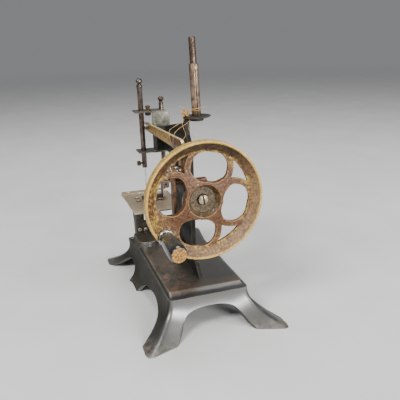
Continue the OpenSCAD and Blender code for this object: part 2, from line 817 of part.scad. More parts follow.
module needle_clamp_screw() {
    color([0.25, 0.22, 0.2])
    on_needle_axis() translate([0, 0, bar_low - bar_z0 + 3.4]) {
        rod_y(0.68, -needle_bar_r - 0.1, -0.85);
        rod_y(0.68, -4, -needle_bar_r);
        rod_y(1.7, -5.4, -3);
    }
}

// ---------- presser ----------
module presser_bar() {
    color([0.4, 0.37, 0.33])
    translate([bar_x, presser_y, 0]) difference() {
        rod_z(presser_r, presser_low, presser_high - 4);
        translate([0, 0, presser_low + 2.2]) rod_x(0.7, 0, 3);
    }
}

module presser_knob() {
    color([0.4, 0.36, 0.32])
    translate([bar_x, presser_y, presser_high]) rotate_extrude() polygon(concat(
        [[0, -4], [1.6, -4], [1.6, -2.6], [1.1, -2.2]],
        [for (a = [-40:20:90]) [2.1 * cos(a), 1.8 * sin(a)]]
    ));
}

collar_z = 97;

module presser_collar() {
    color([0.45, 0.42, 0.38])
    translate([bar_x, presser_y, 0]) difference() {
        rod_z(2.9, collar_z, collar_z + 3);
        rod_z(presser_r, collar_z - 1, collar_z + 4);
    }
}

// Coil spring round the presser bar, drawn as stacked turns joined by a thin tube
spring_low = collar_z + 3.05;
spring_high = bracket_top - sheet - 0.05;

module presser_spring() {
    color([0.4, 0.38, 0.36])
    translate([bar_x, presser_y, 0]) difference() {
        union() {
            rod_z(2.25, spring_low, spring_high);
            for (k = [0:6]) translate([0, 0, spring_low + 0.5 + k * (spring_high - spring_low - 1) / 6])
                rotate_extrude() translate([2.3, 0]) circle(r = 0.45, $fn = 16);
        }
        rod_z(presser_r + 0.15, spring_low - 1, spring_high + 1);
    }
}

foot_low = plate_top + 0.7;

module presser_foot() {
    color([0.6, 0.6, 0.56])
    difference() {
        union() {
            // clamp block on the bar
            block([bar_x - 2.8, presser_y - 2.6, presser_low - 0.2], [bar_x + 2.8, presser_y + 2.6,
                presser_low + 5]);
            // upright and sole
            block([bar_x - 2.8, presser_y - 2.6, foot_low], [bar_x + 2.8, presser_y - 1.4, presser_low]);
            block([bar_x - 5.2, -16.4, foot_low], [bar_x + 5.2, presser_y - 1.4, foot_low + 1]);
        }
        translate([bar_x, presser_y, 0]) rod_z(presser_r, presser_low, presser_low + 6);
        translate([bar_x, presser_y, presser_low + 2.2]) rod_x(0.7, 0, 4);
        translate([bar_x, needle_y, 0]) rod_z(1.6, foot_low - 1, foot_low + 2);
        block([bar_x - 1, -17, foot_low - 1], [bar_x + 1, needle_y, foot_low + 2]);
    }
}

// ---------- feed dog ----------
module feed_dog() {
    color([0.5, 0.48, 0.45])
    union() {
        for (x = feed_slot_x) {
            block([x - 0.85, feed_slot_y[0] + 0.4, plate_top - 3.4], [x + 0.85, feed_slot_y[0] + 9,
                plate_top + 0.05]);
            for (k = [0:4]) feed_tooth(x, feed_slot_y[0] + 0.6 + k * 1.55);
        }
        block([feed_slot_x[0] - 0.85, feed_slot_y[0] + 7.8, plate_top - 3.4],
              [feed_slot_x[1] + 0.85, feed_slot_y[0] + 9, plate_top - 1.6]);
    }
}

module feed_tooth(x, y) {
    translate([x - 0.85, y, plate_top]) rotate([90, 0, 90]) linear_extrude(1.7)
        polygon([[0, 0], [1.4, 0], [1.4, 0.4]]);
}

// ---------- thread tension on the upper ear ----------
tension_r = 0.88;
discs_h = 0.9;
tension_spring_h = 0.9;

module tension_stud() {
    color([0.55, 0.5, 0.4])
    translate([tension_x, tension_y, 0]) {
        rod_z(tension_r, bracket_top - sheet, bracket_top + 3.6);
        // knob under the ear
        translate([0, 0, bracket_top - sheet - 2.4]) rotate_extrude() polygon([
            [0, 0], [1.5, 0], [2.1, 0.6], [2.1, 1.6], [1.5, 2.4], [0, 2.4]
        ]);
    }
}

module tension_discs() {
    color([0.68, 0.62, 0.5])
    translate([tension_x, tension_y, bracket_top]) difference() {
        rotate_extrude() polygon([
            [0, 0], [1.2, 0], [2.2, 0.25], [2.2, 0.35], [1.3, 0.45], [2.2, 0.55], [2.2, 0.65],
            [1.2, discs_h], [0, discs_h]
        ]);
        rod_z(0.95, -1, 2);
    }
}

module tension_spring() {
    color([0.5, 0.48, 0.45])
    translate([tension_x, tension_y, bracket_top + discs_h]) difference() {
        union() {
            rod_z(1.25, 0, tension_spring_h);
            for (k = [0:1]) translate([0, 0, 0.22 + k * 0.46])
                rotate_extrude() translate([1.3, 0]) circle(r = 0.22, $fn = 16);
        }
        rod_z(1, -1, 3);
    }
}

module tension_nut() {
    color([0.62, 0.5, 0.26])
    translate([tension_x, tension_y, bracket_top + discs_h + tension_spring_h + 0.1]) difference() {
        union() {
            rod_z(1.3, 0, 0.4);
            rod_z(1.7, 0.3, 1.4);
        }
        rod_z(tension_r + run, -1, 4);
        for (a = [0:30:330]) rotate(a) translate([1.8, 0, 0]) rod_z(0.22, 0, 3);
    }
}

// ---------- spool ----------
disc_low = 0.3;       // the disc leans with the pin, so its middle stands off the ear
disc_top = disc_low + 1;

module spool_disc() {
    color([0.12, 0.11, 0.1])
    on_spool_axis() difference() {
        rotate_extrude() polygon([
            [0, disc_low], [spool_disc_r - 1, disc_low], [spool_disc_r, disc_low + 0.5],
            [spool_disc_r, disc_top - 0.2], [spool_disc_r - 0.8, disc_top], [0, disc_top]
        ]);
        rod_z(1.25, -1, 3);
    }
}

module spool_pin() {
    color([0.3, 0.22, 0.18])
    on_spool_axis() {
        rod_z(1.23, -ear_t + 0.2, 3);
        rotate_extrude() polygon([
            [0, disc_top + 0.02], [spool_rod_r, disc_top + 0.02], [spool_rod_r, spool_pin_len - 0.4],
            [spool_rod_r - 0.4, spool_pin_len], [0, spool_pin_len]
        ]);
    }
}

sleeve_low = disc_top + 0.1;

// Rolled tube with an open seam
module spool_sleeve() {
    color([0.5, 0.38, 0.3])
    on_spool_axis() difference() {
        rod_z(spool_rod_r + 0.8, sleeve_low, sleeve_low + sleeve_len);
        rod_z(spool_rod_r + run, sleeve_low - 1, sleeve_low + sleeve_len + 1);
        block([0, -0.25, sleeve_low - 1], [4, 0.25, sleeve_low + sleeve_len + 1]);
    }
}

// Loose turns of thread lying on the disc
module old_thread() {
    color([0.75, 0.65, 0.45])
    on_spool_axis() translate([0, 0, disc_top + 0.75])
        rotate_extrude() translate([6.2, 0]) circle(r = 0.7, $fn = 24);
}

base();
arm();
arm_screws();
head_bracket();
bracket_screws();
pedestal();
pedestal_screws();
cloth_plate();
plate_screws();
axle_stud();
lever_screw();
looper_screw();
spool_disc();
spool_pin();
old_thread();
tension_stud();
tension_discs();
tension_spring();
tension_nut();
handwheel();
eccentric();
handle_pin();
handle_barrel();
handle_ferrule();
needle_lever();
lever_link_pin();
drive_link();
looper_link_pin();
looper_lever();
looper();
looper_rivet();
needle_bar();
needle_drive_stud();
needle();
needle_clamp_screw();
presser_bar();
presser_knob();
presser_collar();
presser_spring();
presser_foot();
feed_dog();
slide_plate();
spool_sleeve();
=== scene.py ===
"""Looks of the toy hand-crank sewing machine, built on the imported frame. Shape numbers are in millimetres."""

import json
import math
import random

import bmesh
import bpy
import numpy as np
from mathutils import Matrix, Vector, noise


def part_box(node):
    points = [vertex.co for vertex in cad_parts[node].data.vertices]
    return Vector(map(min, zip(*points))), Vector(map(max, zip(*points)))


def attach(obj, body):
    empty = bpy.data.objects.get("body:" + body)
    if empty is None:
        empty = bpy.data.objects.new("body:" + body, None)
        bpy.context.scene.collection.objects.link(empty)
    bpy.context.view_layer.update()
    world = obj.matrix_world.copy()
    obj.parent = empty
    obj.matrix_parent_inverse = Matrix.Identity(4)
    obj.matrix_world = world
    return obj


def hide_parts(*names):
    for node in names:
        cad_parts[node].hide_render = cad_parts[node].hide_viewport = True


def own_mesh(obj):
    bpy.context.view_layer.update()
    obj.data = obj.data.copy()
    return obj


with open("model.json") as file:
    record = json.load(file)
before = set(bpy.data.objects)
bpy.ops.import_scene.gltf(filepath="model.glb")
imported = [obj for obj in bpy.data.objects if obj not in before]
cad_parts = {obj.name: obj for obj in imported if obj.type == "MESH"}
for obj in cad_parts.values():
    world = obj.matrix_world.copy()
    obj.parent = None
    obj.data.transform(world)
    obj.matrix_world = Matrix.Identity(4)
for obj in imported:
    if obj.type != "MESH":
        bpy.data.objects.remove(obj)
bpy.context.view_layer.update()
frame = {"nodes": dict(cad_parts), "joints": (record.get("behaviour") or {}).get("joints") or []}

MM = 0.001
SMOOTH_ANGLE = math.radians(38)
JOINTS = {j["name"]: j for j in frame["joints"]}
scene = bpy.context.scene


# ---------------------------------------------------------------- places read from the frame
def low_high(node):
    """Lowest and highest corner of a CAD node, in millimetres."""
    low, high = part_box(node)
    return low / MM, high / MM


def joint_point(name):
    """A point on a joint's axis, in millimetres."""
    return Vector(JOINTS[name]["pos_m"]) / MM


AXLE = joint_point("wheel_spin")
HANDLE = joint_point("handle_spin")
WHEEL_LOW, WHEEL_HIGH = low_high("handwheel")
WHEEL_R = (WHEEL_HIGH.z - WHEEL_LOW.z) / 2


# ---------------------------------------------------------------- shader helpers
class Look:
    """A material whose colour, roughness and bump come from layered noise, in millimetre coordinates."""

    def __init__(self, name):
        self.mat = bpy.data.materials.new(name)
        self.mat.use_nodes = True
        self.tree = self.mat.node_tree
        self.shader = self.tree.nodes["Principled BSDF"]
        where = self.node("ShaderNodeTexCoord")
        scaled = self.node("ShaderNodeVectorMath", operation="SCALE")
        self.wire(where.outputs["Object"], scaled.inputs[0])
        scaled.inputs["Scale"].default_value = 1 / MM
        self.place = scaled.outputs[0]

    def node(self, kind, **settings):
        made = self.tree.nodes.new(kind)
        for key, value in settings.items():
            setattr(made, key, value)
        return made

    def wire(self, source, target):
        if hasattr(source, "is_output"):
            self.tree.links.new(source, target)
        else:
            target.default_value = source

    def set(self, **values):
        for key, value in values.items():
            self.wire(value, self.shader.inputs[key.replace("_", " ")])
        return self

    def stretch(self, x, y, z):
        made = self.node("ShaderNodeVectorMath", operation="MULTIPLY")
        self.wire(self.place, made.inputs[0])
        made.inputs[1].default_value = (x, y, z)
        return made.outputs[0]

    def noise(self, size, detail=4.0, rough=0.55, warp=0.0, place=None, seed=0.0):
        """Noise with features about `size` millimetres wide."""
        made = self.node("ShaderNodeTexNoise", noise_dimensions="4D")
        self.wire(place or self.place, made.inputs["Vector"])
        made.inputs["W"].default_value = seed
        made.inputs["Scale"].default_value = 1 / size
        made.inputs["Detail"].default_value = detail
        made.inputs["Roughness"].default_value = rough
        made.inputs["Distortion"].default_value = warp
        return made.outputs["Fac"]

    def ramp(self, factor, low, high, start=0.0, end=1.0):
        """Maps factor from [low, high] to [start, end], clamped."""
        made = self.node("ShaderNodeMapRange")
        self.wire(factor, made.inputs["Value"])
        for key, value in (("From Min", low), ("From Max", high), ("To Min", start), ("To Max", end)):
            made.inputs[key].default_value = value
        return made.outputs["Result"]

    def mix(self, factor, a, b):
        made = self.node("ShaderNodeMix", data_type="RGBA")
        self.wire(factor, made.inputs[0])
        for value, target in ((a, made.inputs[6]), (b, made.inputs[7])):
            self.wire(value if hasattr(value, "is_output") else (*value, 1.0), target)
        return made.outputs[2]

    def math(self, operation, a, b=0.0):
        made = self.node("ShaderNodeMath", operation=operation)
        self.wire(a, made.inputs[0])
        self.wire(b, made.inputs[1])
        return made.outputs[0]

    def times(self, a, b):
        return self.math("MULTIPLY", a, b)

    def tint(self, colour, amount, share, other):
        """Moves a colour towards another by a share of the amount."""
        return self.mix(self.times(amount, share), colour, other)

    def radius(self, y, z):
        """Distance from a line along X through the point (y, z)."""
        y = self.math("SUBTRACT", self.axis("Y"), y)
        z = self.math("SUBTRACT", self.axis("Z"), z)
        return self.math("SQRT", self.math("ADD", self.times(y, y), self.times(z, z)))

    def axis(self, letter):
        """A coordinate in millimetres."""
        made = self.node("ShaderNodeSeparateXYZ")
        self.wire(self.place, made.inputs[0])
        return made.outputs[letter]

    def distance(self):
        """Distance from the origin."""
        made = self.node("ShaderNodeVectorMath", operation="LENGTH")
        self.wire(self.place, made.inputs[0])
        return made.outputs["Value"]

    def facing(self, letter):
        """How far the surface faces along an axis, from -1 to 1."""
        made = self.node("ShaderNodeNewGeometry")
        split = self.node("ShaderNodeSeparateXYZ")
        self.wire(made.outputs["Normal"], split.inputs[0])
        return split.outputs[letter]

    def edges(self, low=0.51, high=0.56):
        """Convex edges: worn paint on the japanned parts, painted highlights on the wheel and the ferrule."""
        made = self.node("ShaderNodeNewGeometry")
        return self.ramp(made.outputs["Pointiness"], low, high)

    def bump(self, height, depth, strength=1.0):
        made = self.node("ShaderNodeBump")
        self.wire(height, made.inputs["Height"])
        made.inputs["Distance"].default_value = depth * MM
        made.inputs["Strength"].default_value = strength
        if self.shader.inputs["Normal"].is_linked:
            self.tree.links.new(self.shader.inputs["Normal"].links[0].from_socket, made.inputs["Normal"])
        self.tree.links.new(made.outputs[0], self.shader.inputs["Normal"])
        return self


def bare_metal(
    name, light, dark, rough, patch=3.0, streak=(1, 1, 1), rust=(0.20, 0.09, 0.04), rust_share=0.35
):
    """Old metal: two tones in patches, fine streaks, rust specks. Rough is (light tone, dark tone)."""
    look = Look(name)
    patches = look.ramp(look.noise(patch, 6, 0.6, 0.5), 0.36, 0.64)
    colour = look.mix(patches, dark, light)
    fine = look.noise(0.35, 3, 0.6, place=look.stretch(*streak), seed=3)
    colour = look.mix(look.ramp(fine, 0.45, 0.75, 0, 0.5), colour, tuple(c * 0.45 for c in dark))
    speck_noise = look.noise(0.8, 8, 0.75, 0.3, seed=7)
    specks = look.ramp(speck_noise, 0.70 - 0.25 * rust_share, 0.78 - 0.2 * rust_share)
    colour = look.mix(specks, colour, rust)
    polish = look.ramp(patches, 0, 1, rough[1], rough[0])
    roughness = look.math("ADD", polish, look.ramp(specks, 0, 1, 0, 0.3))
    look.set(Base_Color=colour, Roughness=roughness, Metallic=look.ramp(specks, 0, 1, 1.0, 0.3))
    look.bump(fine, 0.03, 0.6)
    look.bump(specks, 0.05, 0.5)
    return look.mat


def japan_black(name, decorated=False, worn_below=0.0, bare_share=0.2, gloss=(0.45, 0.65)):
    """Black baked enamel with chips, dust and, near the ground, edges worn to iron; when decorated, also
    painted shade on the long sides, a painted sheen on the ends and a painted reflection of the wheel.
    """
    look = Look(name)
    cloud = look.noise(9, 5, 0.6, 0.4)
    deep_black, brown_black = (0.007, 0.007, 0.007), (0.022, 0.021, 0.018)
    leaf_green, faded_rose = (0.12, 0.125, 0.070), (0.20, 0.085, 0.065)
    dust_tan, wheel_reflection_brown = (0.085, 0.072, 0.045), (0.070, 0.042, 0.022)
    painted_side_shade, painted_end_sheen = (0.020, 0.018, 0.012), (0.080, 0.078, 0.068)
    primer, bare_iron = (0.12, 0.085, 0.06), (0.26, 0.22, 0.16)
    colour = look.mix(look.ramp(cloud, 0.3, 0.7), deep_black, brown_black)
    if decorated:
        # faded flower spray: soft blotches on the operator's half of the deck
        side = look.ramp(look.axis("Y"), -4, -9)
        top = look.ramp(look.axis("Z"), 21.8, 22.8)
        on_deck = look.times(side, top)
        bloom = look.ramp(look.noise(5.5, 5, 0.65, 1.2, seed=11), 0.50, 0.64)
        leaf = look.ramp(look.noise(4.5, 5, 0.7, 1.5, seed=17), 0.50, 0.66)
        colour = look.tint(colour, look.times(on_deck, leaf), 0.36, leaf_green)
        colour = look.tint(colour, look.times(on_deck, bloom), 0.5, faded_rose)
        dust = look.ramp(look.noise(2.2, 8, 0.8, 0.6, seed=5), 0.44, 0.66, 0, 0.45)
        colour = look.mix(look.times(dust, top), colour, dust_tan)
        # painted reflection of the rusty wheel, in brown, along the end of the deck nearest the wheel
        wheel_reflection = look.times(top, look.ramp(look.axis("X"), 33, 44))
        colour = look.tint(colour, wheel_reflection, 0.55, wheel_reflection_brown)
    chips = look.ramp(look.noise(1.6, 10, 0.75, 0.3, seed=23), 0.66, 0.70)
    colour = look.mix(chips, colour, primer)
    rubbing = look.ramp(look.noise(2.5, 6, 0.7, seed=2), 0.35, 0.6)
    bare = look.times(look.edges(0.505, 0.54), rubbing)
    if worn_below:
        foot = look.ramp(look.axis("Z"), worn_below, worn_below * 0.25)
        foot = look.times(foot, look.ramp(look.noise(2.0, 8, 0.75, 0.4, seed=9), 0.44, 0.6))
        bare = look.math("MAXIMUM", look.times(bare, 0.6), look.times(foot, 0.6))
    bare = look.times(bare, bare_share)
    colour = look.mix(bare, colour, bare_iron)
    smear = look.noise(14, 6, 0.65, 0.8, place=look.stretch(1, 1, 0.6), seed=31)
    rough = look.ramp(smear, 0.3, 0.7, *gloss)
    rough = look.math("ADD", rough, look.times(look.math("MAXIMUM", chips, bare), 0.3))
    coat, shine = 0.05, 0.18
    if decorated:
        # the long sides are matt, and painted shade darkens their colour; the ends still shine, and a painted
        # grey sheen lightens their colour
        matt_and_shaded_side = look.ramp(look.math("ABSOLUTE", look.facing("Y")), 0.35, 0.75)
        rough = look.math("ADD", rough, look.times(matt_and_shaded_side, 0.25))
        coat = look.ramp(matt_and_shaded_side, 0, 1, 0.9, 0.05)
        shine = look.ramp(matt_and_shaded_side, 0, 1, 0.9, 0.15)
        colour = look.tint(colour, matt_and_shaded_side, 0.6, painted_side_shade)
        # painted sheen: faces turned towards +X are lightened to grey
        grey = look.ramp(look.facing("X"), 0.3, 0.75)
        colour = look.tint(colour, grey, 0.7, painted_end_sheen)
    look.set(Base_Color=colour, Roughness=rough, Specular_IOR_Level=shine)
    look.set(Coat_Weight=coat, Coat_Roughness=0.34)
    look.bump(look.noise(2.4, 6, 0.6, seed=13), 0.06, 0.5)
    look.bump(chips, -0.05, 0.6)
    return look.mat


def wheel_paint(name):
    """Cast wheel: rusty face, gold outer wall and lip, painted light and shade on the inner wall, painted
    highlights on the edges, dusty recess in the hub.
    """
    look = Look(name)
    x, y = look.axis("X"), look.axis("Y")
    z = look.math("SUBTRACT", look.axis("Z"), AXLE.z)
    radius = look.radius(0, AXLE.z)
    mottle = look.ramp(look.noise(1.5, 10, 0.82, 0.4), 0.42, 0.58)
    speck = look.ramp(look.noise(0.55, 6, 0.8, seed=4), 0.55, 0.66)
    rusty = look.mix(mottle, (0.024, 0.009, 0.003), (0.135, 0.052, 0.014))
    rusty = look.mix(look.ramp(speck, 0, 1, 0, 0.8), rusty, (0.34, 0.16, 0.05))
    yellow = look.mix(mottle, (0.19, 0.110, 0.015), (0.54, 0.36, 0.070))
    yellow = look.mix(look.ramp(speck, 0, 1, 0, 0.55), yellow, (0.16, 0.09, 0.04))
    # painted light: the lighter tone used where the inner wall is lit
    painted_light_beige = look.mix(mottle, (0.085, 0.044, 0.018), (0.26, 0.16, 0.080))
    painted_light_beige = look.mix(look.ramp(speck, 0, 1, 0, 0.5), painted_light_beige, (0.15, 0.08, 0.04))
    drift = look.times(look.math("SUBTRACT", look.noise(4, 4, 0.6, seed=8), 0.5), 3.0)
    r = look.math("ADD", radius, drift)
    left_over = look.ramp(look.noise(3.4, 6, 0.7, seed=15), 0.48, 0.58)
    remnant = look.times(look.ramp(r, 23.5, 27), left_over)
    colour = look.tint(rusty, remnant, 0.8, yellow)
    # painted light and shade on the rim's inner wall: painted shadow at the top, painted light low on the far
    # side
    inner_wall = look.ramp(radius, 29.0, 29.8)
    painted_light_low = look.times(look.ramp(look.math("SUBTRACT", y, z), -6, 26), inner_wall)
    colour = look.tint(colour, painted_light_low, 0.9, painted_light_beige)
    shade_top = look.times(look.ramp(z, 8, 26), inner_wall)
    colour = look.tint(colour, shade_top, 0.85, (0.022, 0.010, 0.003))
    colour = look.mix(look.ramp(radius, WHEEL_R - 1.7, WHEEL_R - 1.2), colour, yellow)
    front = WHEEL_HIGH.x
    lip = look.times(look.ramp(x, front - 0.6, front - 0.3), look.ramp(radius, 33.3, 33.6))
    colour = look.tint(colour, lip, 0.15, (0.66, 0.43, 0.11))
    # painted highlight: convex edges of the windows and rim are lightened to light tan
    colour = look.mix(look.times(look.edges(0.51, 0.55), 0.55), colour, (0.50, 0.29, 0.11))
    recess = look.times(look.ramp(radius, 9.6, 8.9), look.ramp(x, front - 2.0, front - 2.8))
    dusty = look.mix(mottle, (0.018, 0.012, 0.005), (0.14, 0.100, 0.046))
    colour = look.tint(colour, recess, 0.85, dusty)
    look.set(Base_Color=colour, Roughness=look.ramp(mottle, 0, 1, 0.62, 0.42), Metallic=0.15)
    look.bump(look.noise(0.9, 8, 0.75, seed=21), 0.16, 0.9)
    return look.mat


def barrel_wood(name):
    """Dark polished barrel with lengthwise streaks and a bare, mottled end."""
    look = Look(name)
    end = low_high("handle_barrel")[1].x
    grain = look.noise(1.2, 6, 0.65, 0.6, place=look.stretch(0.12, 1, 1))
    colour = look.mix(look.ramp(grain, 0.35, 0.65), (0.008, 0.009, 0.008), (0.038, 0.042, 0.037))
    rub = look.ramp(look.noise(3.5, 6, 0.7, 0.6, place=look.stretch(0.5, 1, 1), seed=6), 0.55, 0.7)
    colour = look.tint(colour, rub, 0.4, (0.14, 0.12, 0.08))
    radius = look.radius(HANDLE.y, HANDLE.z)
    x = look.axis("X")
    tip = look.times(look.ramp(x, end - 0.55, end - 0.2), look.ramp(radius, 4.3, 4.05))
    mottle = look.ramp(look.noise(1.1, 8, 0.78, 0.5, seed=12), 0.46, 0.58)
    colour = look.mix(look.ramp(x, end - 4, end - 1.5), colour, (0.006, 0.006, 0.005))
    bare = look.mix(mottle, (0.13, 0.045, 0.006), (0.58, 0.31, 0.06))
    colour = look.mix(tip, colour, bare)
    rough = look.math("ADD", look.ramp(grain, 0.3, 0.7, 0.16, 0.3), look.ramp(tip, 0, 1, 0, 0.35))
    look.set(Base_Color=colour, Roughness=rough)
    look.set(Coat_Weight=look.ramp(tip, 0, 1, 0.6, 0.0), Coat_Roughness=0.12)
    look.bump(grain, 0.05, 0.6)
    look.bump(look.times(mottle, tip), 0.12, 0.7)
    return look.mat


def cotton(name):
    """Tan cotton with a fine twist."""
    look = Look(name)
    tone = look.ramp(look.noise(2.0, 4, 0.6), 0.35, 0.65)
    colour = look.mix(tone, (0.24, 0.12, 0.02), (0.56, 0.34, 0.10))
    look.set(Base_Color=colour, Roughness=0.85, Sheen_Weight=0.4)
    look.bump(look.noise(0.12, 3, 0.6, place=look.stretch(1, 1, 3)), 0.03, 0.8)
    return look.mat


def bracket_nickel(name):
    """Light nickel on the upper panel, grey ears, dark below where oil has lain."""
    look = Look(name)
    cloud = look.ramp(look.noise(4, 6, 0.6, 0.5), 0.36, 0.64)
    colour = look.mix(cloud, (0.070, 0.066, 0.048), (0.21, 0.205, 0.16))
    z = look.axis("Z")
    low, high = low_high("head_bracket")
    below_panel = look.ramp(z, high.z - 12.5, high.z - 14.5)
    dirty = look.times(below_panel, look.ramp(z, low.z + 1.3, low.z + 2.4))
    colour = look.tint(colour, dirty, 0.92, (0.035, 0.033, 0.03))
    upper_ear = look.ramp(z, high.z - 1.4, high.z - 1.0)
    lower_ear = look.ramp(z, low.z + 1.4, low.z + 1.0)
    ears = look.math("MAXIMUM", upper_ear, lower_ear)
    colour = look.tint(colour, ears, 0.8, (0.085, 0.080, 0.062))
    specks = look.ramp(look.noise(0.8, 8, 0.75, 0.3, seed=7), 0.60, 0.68)
    colour = look.mix(specks, colour, (0.16, 0.10, 0.05))
    look.set(Base_Color=colour, Roughness=look.ramp(cloud, 0, 1, 0.5, 0.36))
    look.set(Metallic=look.ramp(dirty, 0, 1, 0.6, 0.2))
    look.bump(look.noise(0.35, 3, 0.6, seed=3), 0.03, 0.6)
    return look.mat


def lever_bronze(name):
    """Golden bronze near the head, going over to rusty brown behind the pivot."""
    look = Look(name)
    patch = look.ramp(look.noise(2.6, 8, 0.7, 0.6), 0.38, 0.6)
    gold = look.mix(patch, (0.15, 0.080, 0.010), (0.50, 0.29, 0.05))
    olive = look.ramp(look.noise(3.6, 6, 0.7, 0.8, seed=5), 0.54, 0.66)
    gold = look.tint(gold, olive, 0.65, (0.10, 0.085, 0.03))
    rust = look.mix(patch, (0.05, 0.024, 0.012), (0.20, 0.10, 0.045))
    behind = look.math("ADD", look.axis("X"), look.times(look.noise(5, 4, 0.6, seed=9), 8))
    colour = look.mix(look.ramp(behind, 15, 20), gold, rust)
    specks = look.ramp(look.noise(0.7, 8, 0.75, seed=7), 0.58, 0.68)
    colour = look.tint(colour, specks, 0.8, (0.12, 0.06, 0.025))
    # painted highlight: faces turned upwards are lightened towards light gold
    lit_top_faces = look.ramp(look.facing("Z"), 0.4, 0.8)
    colour = look.tint(colour, lit_top_faces, 0.8, (0.80, 0.64, 0.34))
    look.set(Base_Color=colour, Roughness=look.ramp(patch, 0, 1, 0.52, 0.32))
    look.set(Metallic=look.ramp(specks, 0, 1, 0.7, 0.3))
    look.bump(look.noise(0.5, 5, 0.7, seed=3), 0.05, 0.7)
    return look.mat


def ferrule_metal(name):
    """Dark ferrule with a painted highlight on its rim."""
    look = Look(name)
    cloud = look.ramp(look.noise(2.5, 6, 0.65, 0.5), 0.36, 0.64)
    colour = look.mix(cloud, (0.12, 0.13, 0.12), (0.36, 0.38, 0.35))
    # painted highlight on the convex rim edges
    colour = look.mix(look.edges(0.51, 0.55), colour, (0.80, 0.78, 0.72))
    look.set(Base_Color=colour, Roughness=look.ramp(cloud, 0, 1, 0.36, 0.2), Metallic=0.9)
    look.bump(look.noise(0.5, 5, 0.7, seed=3), 0.03, 0.6)
    return look.mat


def slotted_end(name, node, slot_depth):
    """Pale worn screw end facing +X, with painted shade in its slot and round its foot."""
    look = Look(name)
    top = low_high(node)[1].x
    tone = look.ramp(look.noise(1.1, 6, 0.7, 0.4), 0.36, 0.64)
    colour = look.mix(tone, (0.24, 0.16, 0.09), (0.60, 0.50, 0.36))
    # painted shade: darker below the slot's floor, in the slot and round the foot of the head
    slot_shade = look.ramp(look.axis("X"), top - slot_depth + 0.12, top - slot_depth - 0.05)
    colour = look.mix(slot_shade, colour, (0.012, 0.010, 0.007))
    look.set(Base_Color=colour, Roughness=0.36, Metallic=look.ramp(slot_shade, 0, 1, 0.85, 0.1))
    look.bump(look.noise(0.4, 5, 0.7, seed=3), 0.03, 0.6)
    return look.mat


PLATE = bare_metal(
    "plate_steel", light=(0.72, 0.60, 0.43), dark=(0.46, 0.36, 0.24), rough=(0.42, 0.58),
    patch=9, streak=(4, 0.25, 1), rust_share=0.1,
)
BRACKET = bracket_nickel("bracket_nickel")
LEVER = lever_bronze("lever_bronze")
FERRULE = ferrule_metal("ferrule_metal")
AXLE_END = slotted_end("axle_end", "axle_stud", slot_depth=0.8)
DARK = bare_metal(
    "dark_steel", light=(0.17, 0.13, 0.11), dark=(0.06, 0.043, 0.036), rough=(0.30, 0.48),
    patch=4, streak=(1, 1, 0.15), rust_share=0.45,
)
LINK = bare_metal(
    "link_iron", light=(0.20, 0.12, 0.075), dark=(0.075, 0.04, 0.025), rough=(0.40, 0.55),
    patch=4, streak=(1, 1, 0.2), rust_share=0.8,
)
SCREW = bare_metal(
    "screw_steel", light=(0.42, 0.36, 0.28), dark=(0.17, 0.13, 0.09), rough=(0.25, 0.42),
    patch=2, rust_share=0.5,
)
BRIGHT = bare_metal(
    "needle_steel", light=(0.80, 0.80, 0.78), dark=(0.60, 0.58, 0.55), rough=(0.12, 0.22),
    streak=(1, 1, 0.1), rust_share=0.05,
)
GOLD = bare_metal(
    "worn_brass", light=(0.42, 0.28, 0.08), dark=(0.18, 0.11, 0.03), rough=(0.30, 0.50),
    patch=2.5, streak=(0.3, 1, 1.5), rust=(0.13, 0.07, 0.035), rust_share=0.55,
)
BRONZE = bare_metal(
    "sleeve_bronze", light=(0.46, 0.33, 0.24), dark=(0.13, 0.08, 0.05), rough=(0.34, 0.5),
    streak=(1, 1, 0.12), rust_share=0.4,
)
ROD = bare_metal(
    "rusty_rod", light=(0.15, 0.105, 0.085), dark=(0.05, 0.032, 0.025), rough=(0.38, 0.55),
    streak=(1, 1, 0.15), rust_share=0.55,
)
DECK = japan_black("japan_base", decorated=True, worn_below=5, bare_share=0.8, gloss=(0.27, 0.42))
BLACK = japan_black("japan_black")
WHEEL = wheel_paint("wheel_paint")
BARREL = barrel_wood("barrel_wood")
THREAD = cotton("cotton")


# ---------------------------------------------------------------- mesh helpers
def add_object(name, mesh, body, material, nodes=()):
    made = bpy.data.objects.new(name, mesh)
    scene.collection.objects.link(made)
    mesh.materials.clear()
    mesh.materials.append(material)
    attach(made, body)
    if nodes:
        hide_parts(*nodes)
    return made


def shade(mesh, angle=SMOOTH_ANGLE):
    """Smooth faces, with edges sharper than the angle left crisp."""
    mesh.polygons.foreach_set("use_smooth", [True] * len(mesh.polygons))
    mesh.set_sharp_from_angle(angle=angle)


def mesh_from(name, points, faces):
    """Mesh from points in millimetres."""
    mesh = bpy.data.meshes.new(name)
    mesh.from_pydata([tuple(c * MM for c in p) for p in points], [], faces)
    tidy = bmesh.new()
    tidy.from_mesh(mesh)
    bmesh.ops.remove_doubles(tidy, verts=tidy.verts, dist=1e-6)
    bmesh.ops.recalc_face_normals(tidy, faces=tidy.faces)
    tidy.to_mesh(mesh)
    tidy.free()
    return mesh


def cad_copy(node, name):
    """Copy of a CAD node's mesh with doubled points merged and flat triangles joined into faces."""
    mesh = frame["nodes"][node].data.copy()
    mesh.name = name
    work = bmesh.new()
    work.from_mesh(mesh)
    bmesh.ops.remove_doubles(work, verts=work.verts, dist=2e-6)
    bmesh.ops.dissolve_limit(work, angle_limit=math.radians(1.0), verts=work.verts, edges=work.edges)
    work.to_mesh(mesh)
    work.free()
    return mesh


